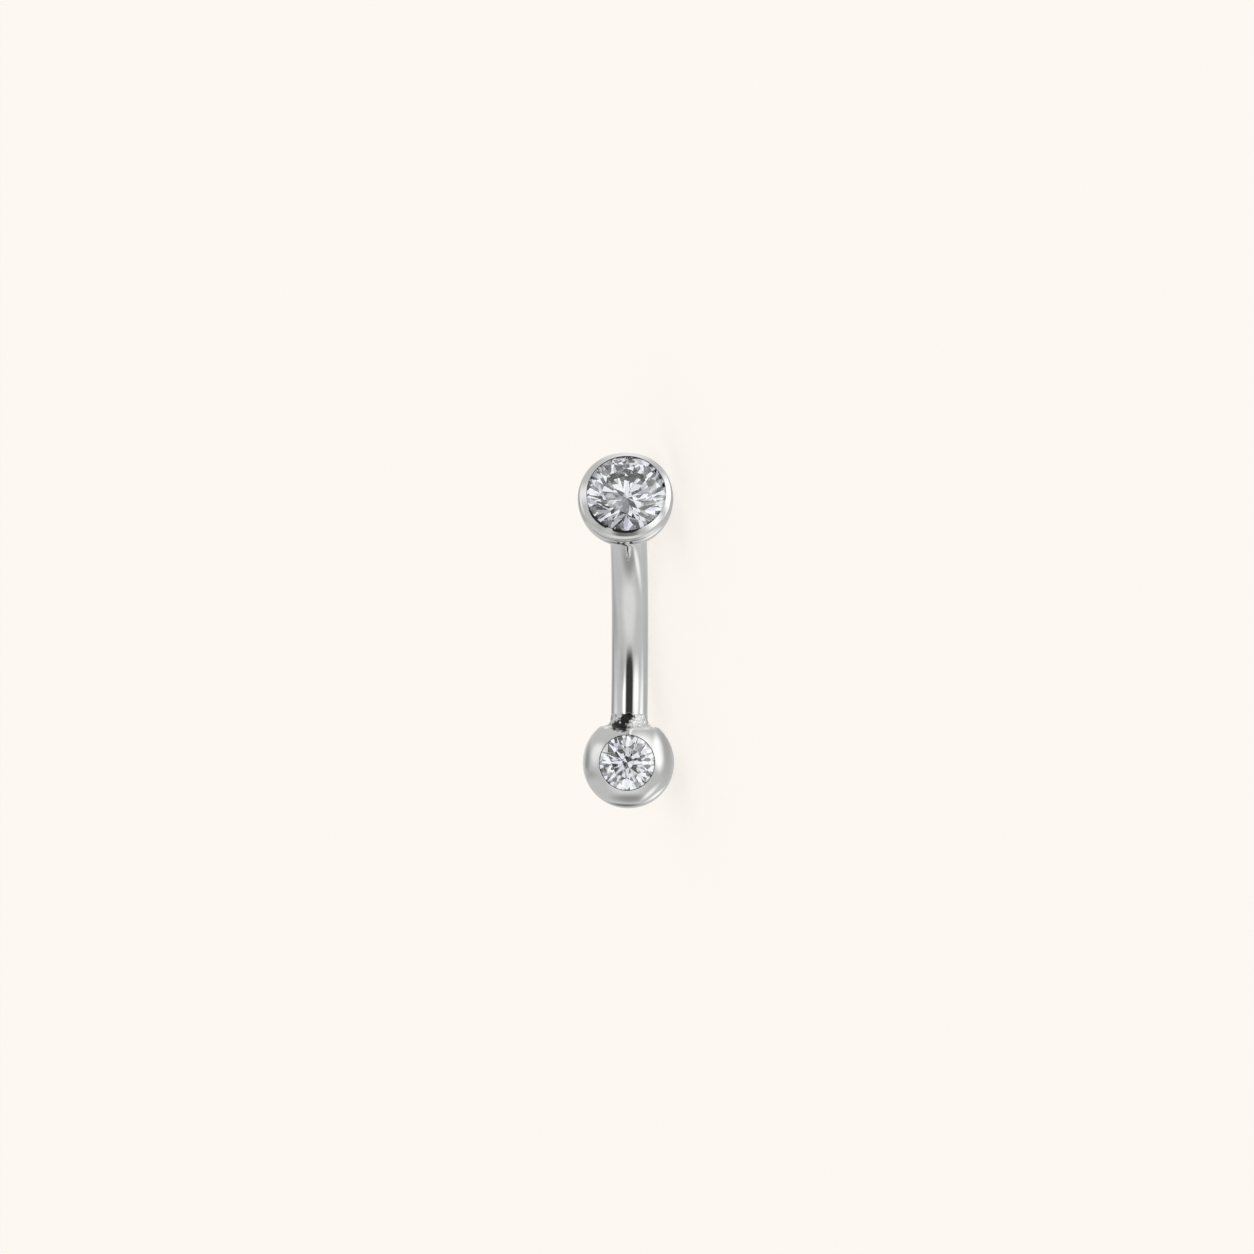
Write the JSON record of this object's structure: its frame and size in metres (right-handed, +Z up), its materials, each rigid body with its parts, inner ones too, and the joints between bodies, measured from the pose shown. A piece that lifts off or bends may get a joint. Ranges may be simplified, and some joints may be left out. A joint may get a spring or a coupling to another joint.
{
  "type": "rook barbell",
  "caption": "Curved rook barbell: a bent bar with a stone-set ball fixed to its lower end and a screw-on bezel head with a larger stone on its upper end.",
  "frame": {"origin": "On the surface that the barbell lies on, under the middle of its box.", "axes": "+X along the chord of the bend, from the fixed ball to the screw-on head; +Y towards the outside of the bend, with the stones facing -Y and up; +Z up. The barbell lies as it comes to rest, on the backs of the ball and the head and on the outside of the bend."},
  "size_m": [0.0132, 0.004, 0.0031],
  "materials": {
    "polished_metal": "polished",
    "clear_stone": "polished"
  },
  "bodies": {
    "root": {"curved_bar": "polished_metal", "lower_stone": "clear_stone", "bezel_head": "polished_metal", "upper_stone": "clear_stone"}
  },
  "joints": []
}
